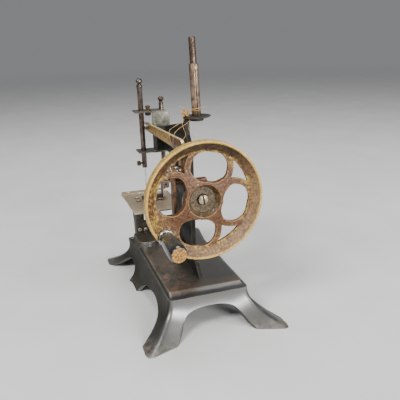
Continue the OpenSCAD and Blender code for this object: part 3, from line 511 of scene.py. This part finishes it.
def soften(mesh, width, segments=2, angle=math.radians(32)):
    """Rounds the edges where two faces meet at more than the angle."""
    work = bmesh.new()
    work.from_mesh(mesh)
    sharp = [e for e in work.edges if len(e.link_faces) == 2 and e.calc_face_angle(0) > angle]
    bmesh.ops.bevel(
        work, geom=sharp, offset=width * MM, offset_type="OFFSET", segments=segments, profile=0.5,
        affect="EDGES", clamp_overlap=True, miter_outer="ARC",
    )
    work.to_mesh(mesh)
    work.free()
    shade(mesh)
    return mesh


def apply_modifiers(mesh, name, *steps):
    """Runs modifiers over a mesh and returns the result. Each step is (type, settings)."""
    holder = bpy.data.objects.new(name + "_work", mesh)
    scene.collection.objects.link(holder)
    for kind, settings in steps:
        modifier = holder.modifiers.new(kind, kind)
        for key, value in settings.items():
            setattr(modifier, key, value)
    bpy.context.view_layer.update()
    depsgraph = bpy.context.evaluated_depsgraph_get()
    result = bpy.data.meshes.new_from_object(holder.evaluated_get(depsgraph))
    result.name = name
    bpy.data.objects.remove(holder)
    return result


def cast(mesh, name, voxel, smoothing, keep_ratio=1.0):
    """Turns sharp solids into one casting with filleted corners."""
    steps = [
        ("REMESH", {"mode": "VOXEL", "voxel_size": voxel * MM, "use_smooth_shade": True}),
        ("SMOOTH", {"factor": 0.5, "iterations": smoothing}),
    ]
    if keep_ratio < 1:
        steps.append(("DECIMATE", {"ratio": keep_ratio}))
    return apply_modifiers(mesh, name, *steps)


def roughen(mesh, depth, size, seed=0.0):
    """Moves points along their normals by noise, as a sand casting's skin."""
    count = len(mesh.vertices)
    places, normals = np.zeros(count * 3), np.zeros(count * 3)
    mesh.vertices.foreach_get("co", places)
    mesh.vertex_normals.foreach_get("vector", normals)
    places, normals = places.reshape(-1, 3), normals.reshape(-1, 3)
    offset = Vector((seed, seed * 1.7, seed * 0.3))
    amount = np.array([noise.noise(Vector(p) / (size * MM) + offset) for p in places])
    places += normals * (amount * depth * MM)[:, None]
    mesh.vertices.foreach_set("co", places.ravel())
    mesh.update()


def frame_of(axis):
    """Two unit vectors across an axis."""
    axis = Vector(axis).normalized()
    side = axis.cross(Vector((0, 0, 1)))
    if side.length < 0.1:
        side = Vector((1, 0, 0)) - axis * axis.x
    side.normalize()
    return side, axis.cross(side).normalized()


def rounded(profile, radius, steps=4):
    """Rounds the corners of an open profile of (radius, height) points."""
    result = [profile[0]]
    for before, here, after in zip(profile, profile[1:], profile[2:]):
        p, q, r = Vector(before), Vector(here), Vector(after)
        cut = min(radius, (p - q).length * 0.45, (r - q).length * 0.45)
        a, b = q + (p - q).normalized() * cut, q + (r - q).normalized() * cut
        for k in range(steps + 1):
            t = k / steps
            result.append(tuple(a * (1 - t) ** 2 + q * (2 * t * (1 - t)) + b * t * t))
    result.append(profile[-1])
    return result


def tube(name, path, radius, sides=10, closed=False):
    """Sweeps a round section along a path of points, with capped ends."""
    path = [Vector(p) for p in path]
    count = len(path)
    points, faces = [], []
    normal = None
    for i, p in enumerate(path):
        ahead = path[(i + 1) % count] if closed or i < count - 1 else p
        behind = path[i - 1] if closed or i > 0 else p
        tangent = (ahead - behind).normalized()
        if normal is None:
            normal = frame_of(tangent)[0]
        normal = (normal - tangent * normal.dot(tangent)).normalized()
        side = tangent.cross(normal)
        r = radius(i / (count - 1)) if callable(radius) else radius
        for k in range(sides):
            a = math.tau * k / sides
            points.append(p + (normal * math.cos(a) + side * math.sin(a)) * r)
    for i in range(count if closed else count - 1):
        for k in range(sides):
            n = (k + 1) % sides
            j = (i + 1) % count
            faces.append((i * sides + k, i * sides + n, j * sides + n, j * sides + k))
    if not closed:
        faces.append(tuple(range(sides)))
        faces.append(tuple((count - 1) * sides + k for k in range(sides)))
    mesh = mesh_from(name, points, faces)
    shade(mesh)
    return mesh


def spline(points, per_span=10, closed=False):
    """Smooth path through points."""
    points = [Vector(p) for p in points]
    count = len(points)
    result = []
    for i in range(count if closed else count - 1):
        p0 = points[(i - 1) % count] if closed or i > 0 else points[0]
        p1, p2 = points[i], points[(i + 1) % count]
        p3 = points[(i + 2) % count] if closed or i < count - 2 else points[-1]
        for k in range(per_span):
            t = k / per_span
            result.append(
                p1 * 1.0
                + (p2 - p0) * (0.5 * t)
                + (p0 * 2 - p1 * 5 + p2 * 4 - p3) * (0.5 * t * t)
                + (p1 * 3 - p0 - p2 * 3 + p3) * (0.5 * t ** 3)
            )
    if not closed:
        result.append(points[-1])
    return result


def joined(name, meshes):
    """One mesh from several."""
    work = bmesh.new()
    for mesh in meshes:
        work.from_mesh(mesh)
    result = bpy.data.meshes.new(name)
    work.to_mesh(result)
    work.free()
    return result


# ---------------------------------------------------------------- base casting
def smooth_step(t):
    t = np.clip(t, 0, 1)
    return t * t * (3 - 2 * t)


def lerp(a, b, t):
    return a + (b - a) * t


class Skirt:
    """Flared four-leg skirt, swept round the deck's edge in rings from the deck down to the toes."""

    COUNT = 640
    LEVELS = 44
    POWER = 2.3
    STRAIGHT = 0.38  # share of a quarter's points on each straight side; the corner gets the rest

    def __init__(self):
        self.toe = np.array([71.7, 44.0])
        self.deck_half = np.array([51.15, 25.0])
        self.deck_h = 21.3
        self.deck_top = low_high("arm")[0].z
        self.corner = 3.0
        self.end_arch = 14.5
        self.end_arch_half = 24.2
        self.side_arch = 10.5
        self.side_arches = ((-41, 15), (24.5, 32.5))

    def outline(self, inset_x, inset_y, corner):
        """Rounded rectangle inside the deck's edge, point by point from +X round to +X."""
        a, b = self.deck_half[0] - inset_x, self.deck_half[1] - inset_y
        quarter = self.COUNT // 4
        result = []
        for i in range(self.COUNT):
            q, u = i // quarter, (i % quarter) / quarter
            sx = 1 if q in (0, 3) else -1
            sy = 1 if q < 2 else -1
            v = u if q % 2 == 0 else 1 - u
            turn = math.pi / 2 * min(max((v - self.STRAIGHT) / (1 - 2 * self.STRAIGHT), 0), 1)
            x = a - corner + corner * math.cos(turn)
            y = b - corner + corner * math.sin(turn)
            if v < self.STRAIGHT:
                y = lerp(0, b - corner, v / self.STRAIGHT)
            if v > 1 - self.STRAIGHT:
                x, y = lerp(a - corner, 0, (v - 1 + self.STRAIGHT) / self.STRAIGHT), b
            result.append((sx * x, sy * y))
        return np.array(result)

    def ground(self, edge):
        """Where each point of the edge lands on the ground; the corners reach out to the toes."""
        ex = np.abs(edge[:, 0]) / self.deck_half[0]
        ey = np.abs(edge[:, 1]) / self.deck_half[1]
        at_end = smooth_step((ex - 0.72) / 0.28)
        at_side = smooth_step((ey - 0.55) / 0.45)
        reach = self.toe - self.deck_half
        reach_x = lerp(3, reach[0], at_end) * np.where(at_end > 0, 1, 0.6)
        reach_y = lerp(0, lerp(8, reach[1], smooth_step((ex - 0.35) / 0.6)), at_side)
        toe = at_end * at_side
        gx = np.sign(edge[:, 0]) * (np.abs(edge[:, 0]) + reach_x * ex * lerp(0.62, 1, toe))
        splay = np.where(ex > 0.9, 6 * ey * (1 - at_side), 0)
        gy = np.sign(edge[:, 1]) * (np.abs(edge[:, 1]) + reach_y + splay)
        return np.stack([gx, gy], 1)

    @staticmethod
    def arch(t, height, power):
        """Height of an arch with rounded shoulders; its ends are at t = -1 and 1."""
        return height * np.clip(1 - np.abs(t) ** power, 0, 1) ** (1 / power)

    def lowest(self, g):
        """Height of the skirt's lower rim over each ground point."""
        end = self.arch(g[:, 1] / self.end_arch_half, self.end_arch, 2.6)
        end = np.where(np.abs(g[:, 0]) > 58, end, 0)
        sides = [
            self.arch((g[:, 0] - centre) / half, self.side_arch, 2.2)
            for centre, half in self.side_arches
        ]
        return np.maximum(end, np.where(np.abs(g[:, 1]) > 30, np.maximum(*sides), 0))

    def ring(self, edge, ground, low, v, inset=0.0):
        """One ring of the flare, at the share v of the way down."""
        z = self.deck_h - v * (self.deck_h - low)
        f = ((self.deck_h - z) / self.deck_h) ** self.POWER
        p = edge + (ground - edge) * f[:, None]
        d = p / np.linalg.norm(p, axis=1)[:, None]
        p = p - inset * np.sign(p) * np.minimum(1, np.abs(d) * 2)
        return np.column_stack([p, z])

    def shoulder(self, ring):
        """Carries the upper rings out at the head end, where the casting's shoulder is fuller."""
        t = smooth_step((-ring[:, 0] - 26) / 24) * np.clip(ring[:, 2] / self.deck_h, 0, 1) ** 1.5
        return np.column_stack([ring[:, 0] - 5.0 * t, ring[:, 1] * (1 + 0.13 * t), ring[:, 2]])

    def mesh(self):
        edge = self.outline(0, 0, self.corner)
        ground = self.ground(edge)
        low = self.lowest(ground)
        rings = []
        # deck panel, its raised border and the rounded top edge
        for inset_x, inset_y, z in (
            (9.0, 3.6, self.deck_top), (7.2, 2.0, self.deck_top), (6.6, 1.7, self.deck_top - 0.12),
            (6.0, 1.5, self.deck_top - 0.5), (4.6, 1.3, self.deck_h + 0.75), (2.6, 1.0, self.deck_h + 0.28),
            (1.0, 0.6, self.deck_h + 0.16), (0.35, 0.28, self.deck_h + 0.05),
        ):
            flat = self.outline(inset_x, inset_y, self.corner - min(inset_x, 3) * 0.5)
            rings.append(np.column_stack([flat, np.full(self.COUNT, z)]))
        for k in range(self.LEVELS + 1):
            v = (k / self.LEVELS) ** 0.9
            rings.append(self.ring(edge, ground, low, v))
        # lower rim, then the inside of the shell
        rings.append(self.ring(edge, ground, low, 1.0, 0.3))
        for k in range(self.LEVELS, 0, -2):
            rings.append(self.ring(edge, ground, low, (k / self.LEVELS) ** 0.9, 2.4))
        under = self.outline(2.6, 2.6, self.corner - 1.5)
        rings.append(np.column_stack([under, np.full(self.COUNT, self.deck_h - 1.2)]))
        n = self.COUNT
        rings = [self.shoulder(ring) for ring in rings]
        points = [tuple(p) for ring in rings for p in ring]
        faces = []
        for i in range(len(rings) - 1):
            for k in range(n):
                m = (k + 1) % n
                faces.append((i * n + k, i * n + m, (i + 1) * n + m, (i + 1) * n + k))
        for ring_index, z in ((0, self.deck_top), (len(rings) - 1, self.deck_h - 1.2)):
            centre = len(points)
            points.append((0, 0, z))
            for k in range(n):
                faces.append((ring_index * n + k, ring_index * n + (k + 1) % n, centre))
        return mesh_from("base_casting", points, faces)


skirt = Skirt()
base_mesh = skirt.mesh()
roughen(base_mesh, depth=0.10, size=9, seed=3)
shade(base_mesh, math.radians(50))
add_object("base_casting", base_mesh, "machine_frame", DECK, ["base"])


def pad_mesh():
    """Oval pad on the deck under the pedestal."""
    low, high = low_high("pedestal")
    x0, x1, y = low.x + 10, high.x + 8, -17.5
    r, top, sunk = 7.5, 3.4, -2.2
    profile = rounded([(r + 0.9, sunk), (r + 0.3, 0.6), (r, top), (r - 3, top)], 0.7)
    points, faces, sides = [], [], 96
    z0 = skirt.deck_top
    for radius, height in profile:
        for k in range(sides):
            a = math.tau * k / sides
            c = x1 if math.cos(a) > 0 else x0
            points.append((c + radius * math.cos(a), y + radius * math.sin(a), z0 + height))
    for i in range(len(profile) - 1):
        for k in range(sides):
            m = (k + 1) % sides
            faces.append((i * sides + k, i * sides + m, (i + 1) * sides + m, (i + 1) * sides + k))
    faces.append(tuple(range((len(profile) - 1) * sides, len(profile) * sides)))
    faces.append(tuple(range(sides)))
    return mesh_from("base_pad", points, faces)


pad = pad_mesh()
shade(pad)
add_object("base_pad", pad, "machine_frame", DECK, [])

# ---------------------------------------------------------------- castings taken from the CAD solids
arm_mesh = cast(cad_copy("arm", "arm_casting"), "arm_casting", voxel=0.40, smoothing=2)
roughen(arm_mesh, depth=0.08, size=5, seed=1)
add_object("arm_casting", arm_mesh, "machine_frame", BLACK, ["arm"])

wheel_mesh = cast(cad_copy("handwheel", "wheel_casting"), "wheel_casting", voxel=0.26, smoothing=2)
roughen(wheel_mesh, depth=0.12, size=1.6, seed=5)
add_object("wheel_casting", wheel_mesh, "wheel", WHEEL, ["handwheel"])

# ---------------------------------------------------------------- smaller pieces: CAD shape with eased edges
# node, body, material, material slot, width of the eased edge
PIECES = [
    ("pedestal", "machine_frame", BLACK, "black_japan", 0.25),
    ("head_bracket", "machine_frame", BRACKET, "worn_nickel", 0.2),
    ("cloth_plate", "machine_frame", PLATE, "plate_steel", 0.18),
    ("slide_plate", "slide_cover", PLATE, "plate_steel", 0.2),
    ("arm_screws", "machine_frame", SCREW, "screw_steel", 0.15),
    ("bracket_screws", "machine_frame", SCREW, "screw_steel", 0.12),
    ("pedestal_screws", "machine_frame", SCREW, "screw_steel", 0.1),
    ("plate_screws", "machine_frame", SCREW, "screw_steel", 0.06),
    ("axle_stud", "machine_frame", AXLE_END, "dark_steel", 0.06),
    ("lever_screw", "machine_frame", SCREW, "screw_steel", 0.15),
    ("looper_screw", "machine_frame", SCREW, "screw_steel", 0.15),
    ("spool_disc", "machine_frame", BLACK, "black_japan", 0.12),
    ("spool_pin", "machine_frame", ROD, "dark_steel", 0.15),
    ("tension_stud", "machine_frame", BLACK, "worn_brass", 0.1),
    ("tension_discs", "machine_frame", GOLD, "worn_brass", 0.06),
    ("tension_nut", "tension_adjuster", ROD, "worn_brass", 0.1),
    ("eccentric", "wheel", SCREW, "rusty_iron", 0.2),
    ("handle_pin", "wheel", SCREW, "screw_steel", 0.1),
    ("needle_lever", "needle_rocker", LEVER, "worn_brass", 0.25),
    ("lever_link_pin", "needle_rocker", SCREW, "screw_steel", 0.12),
    ("drive_link", "link", LINK, "dark_steel", 0.2),
    ("looper_link_pin", "link", SCREW, "screw_steel", 0.12),
    ("looper_lever", "looper_rocker", DARK, "dark_steel", 0.2),
    ("looper", "looper_rocker", BRIGHT, "plate_steel", 0.12),
    ("looper_rivet", "looper_rocker", SCREW, "screw_steel", 0.1),
    ("needle_bar", "needle_slider", DARK, "dark_steel", 0.15),
    ("needle_drive_stud", "needle_slider", SCREW, "screw_steel", 0.1),
    ("needle", "needle_slider", BRIGHT, "needle_steel", 0.05),
    ("needle_clamp_screw", "needle_slider", DARK, "screw_steel", 0.12),
    ("presser_bar", "presser", DARK, "dark_steel", 0.12),
    ("presser_knob", "presser", DARK, "dark_steel", 0.15),
    ("presser_collar", "presser", DARK, "dark_steel", 0.2),
    ("presser_foot", "presser", DARK, "plate_steel", 0.2),
    ("feed_dog", "feed", SCREW, "plate_steel", 0.05),
    ("handle_ferrule", "handle", FERRULE, "ferrule_steel", 0.15),
    ("handle_barrel", "handle", BARREL, "dark_wood", 0.2),
    ("spool_sleeve", "sleeve", BRONZE, "sleeve_brown", 0.12),
]
for node, body, material, slot, width in PIECES:
    eased = soften(cad_copy(node, node + "_piece"), width)
    add_object(node + "_piece", eased, body, material, [node])


# ---------------------------------------------------------------- springs
def helix(name, centre, low, high, radius, wire, turns, rest_turns=0.8):
    """Compression spring about Z with closed end turns."""
    steps = int(turns * 28)
    ease = min(rest_turns / turns, 0.3)
    path = []
    for i in range(steps + 1):
        t = i / steps
        a = t * turns * math.tau
        rise = min(max((t - ease) / (1 - 2 * ease), 0), 1)
        z = lerp(low + wire, high - wire, rise)
        path.append((centre.x + radius * math.cos(a), centre.y + radius * math.sin(a), z))
    return tube(name, path, wire, 10)


for node, body, turns, wire in (
    ("presser_spring", "presser", 7, 0.42),
    ("tension_spring", "machine_frame", 2.5, 0.18),
):
    low, high = low_high(node)
    centre = (low + high) / 2
    coil = helix(node + "_coil", centre, low.z, high.z, (high.x - low.x) / 2 - wire, wire, turns)
    spring = add_object(node + "_coil", coil, body, DARK, [node])
    if node == "presser_spring":
        # the collar pushes the spring up against the bracket's upper ear
        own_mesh(spring)


# ---------------------------------------------------------------- old thread
def thread_tangle():
    """Knot of old thread beside the spool disc, with loose loops over the arm and turns round the pin."""
    rng = random.Random(8)
    knot_r, loop_r, wrap_r = 0.11, 0.13, 0.14
    low, high = low_high("old_thread")
    centre = (low + high) / 2
    core = Vector((centre.x, low.y - 0.6, high.z + 0.2))
    strands = []
    for _ in range(9):
        points = []
        for _ in range(9):
            points.append(core + Vector((rng.gauss(0, 1.9), rng.gauss(0, 1.5), rng.gauss(0, 1.3))))
        strands.append((points, knot_r))
    hang = [
        [(0, 0, 0), (0, -0.8, -4), (0, -5.5, -6.8), (1, -9.8, -9.0), (2, -10.6, -12),
         (3, -10.3, -15.5), (5, -9.8, -17), (7, -9.6, -14.5), (8, -9.5, -11), (7, -6.5, -8.0),
         (3, 1.0, -5), (1, 2.6, -2), (0, 0, 0)],
        [(0, 1, 0), (2, 2.4, -4), (4, 1.2, -9), (6, 3.2, -13), (8, 4.0, -16)],
        [(0, -1, 0), (3, -2.5, -6), (4, -1.0, -12), (5, -3.5, -15)],
        [(0, 0, 1.5), (3.5, 6, 2.6), (4.5, 12.7, 3.6)],
        [(0, 0, 1), (1, -1.0, 3.5), (1, -3.5, 4.5)],
    ]
    for points in hang:
        strands.append(([core + Vector(p) for p in points], loop_r))
    wrap, steps, turns, pin_r = [], 40, 1.6, 3.1
    for k in range(steps):
        a = math.pi + k / (steps - 1) * math.tau * turns
        x, y = centre.x + pin_r * math.cos(a), centre.y + pin_r * math.sin(a) - 0.2
        wrap.append((x, y, high.z + 1.2 + 0.05 * k))
    strands.append(([core] + wrap, wrap_r))
    meshes = [tube("strand", spline(points, 8), r, 6) for points, r in strands]
    return joined("thread_tangle", meshes)


tangle = thread_tangle()
shade(tangle)
add_object("thread_tangle", tangle, "machine_frame", THREAD, ["old_thread"])


# ---------------------------------------------------------------- floor, light and camera
def studio():
    """Pale floor, even sky and four soft lamps."""
    floor = bpy.data.meshes.new("floor")
    size = 30
    corners = [(-size, -size, 0), (size, -size, 0), (size, size, 0), (-size, size, 0)]
    floor.from_pydata(corners, [], [(0, 1, 2, 3)])
    ground = bpy.data.objects.new("floor", floor)
    scene.collection.objects.link(ground)
    look = Look("floor_paper")
    cloud = look.ramp(look.noise(60, 3), 0.3, 0.7)
    look.set(Base_Color=look.mix(cloud, (0.50, 0.50, 0.49), (0.56, 0.56, 0.55)), Roughness=0.8)
    # the floor fades into the backdrop far from the machine
    look.set(Alpha=look.ramp(look.distance(), 500, 2600, 1.0, 0.0))
    floor.materials.append(look.mat)
    world = bpy.data.worlds.new("studio")
    scene.world = world
    world.use_nodes = True
    sky = world.node_tree.nodes["Background"]
    sky.inputs["Color"].default_value = (0.62, 0.63, 0.65, 1)
    sky.inputs["Strength"].default_value = 0.36
    aim = Vector((0, 0, 0.08))
    for name, place, width, height, power in (
        ("key_light", (0.45, -0.80, 0.95), 0.45, 0.3, 19),
        ("top_light", (-0.15, 0.1, 1.2), 0.6, 0.6, 9),
        ("front_light", (1.05, 0.36, 0.36), 0.5, 0.35, 17),
        ("side_light", (0.55, 0.95, 0.6), 0.4, 0.4, 6),
    ):
        data = bpy.data.lights.new(name, "AREA")
        data.shape = "RECTANGLE"
        data.size, data.size_y, data.energy = width, height, power
        lamp = bpy.data.objects.new(name, data)
        scene.collection.objects.link(lamp)
        lamp.location = place
        lamp.rotation_euler = (aim - Vector(place)).to_track_quat("-Z", "Y").to_euler()


def camera():
    """Camera at the wheel's end, a little above and to the operator's side."""
    yaw, pitch, roll = 0.32044, 0.31518, -0.02744
    place = (0.30304, -0.08807, 0.16717)
    forward = Vector((-math.cos(yaw), math.sin(yaw), 0))
    right = Vector((math.sin(yaw), math.cos(yaw), 0))
    up = Vector((0, 0, 1))
    look_at = forward * math.cos(pitch) - up * math.sin(pitch)
    tilt_up = up * math.cos(pitch) + forward * math.sin(pitch)
    side = right * math.cos(roll) + tilt_up * math.sin(roll)
    top = tilt_up * math.cos(roll) - right * math.sin(roll)
    data = bpy.data.cameras.new("photo_camera")
    data.sensor_width, data.lens = 36.0, 45.288
    made = bpy.data.objects.new("photo_camera", data)
    scene.collection.objects.link(made)
    turn = Matrix((side, top, -look_at)).transposed().to_4x4()
    made.matrix_world = Matrix.Translation(place) @ turn
    scene.camera = made


studio()
camera()
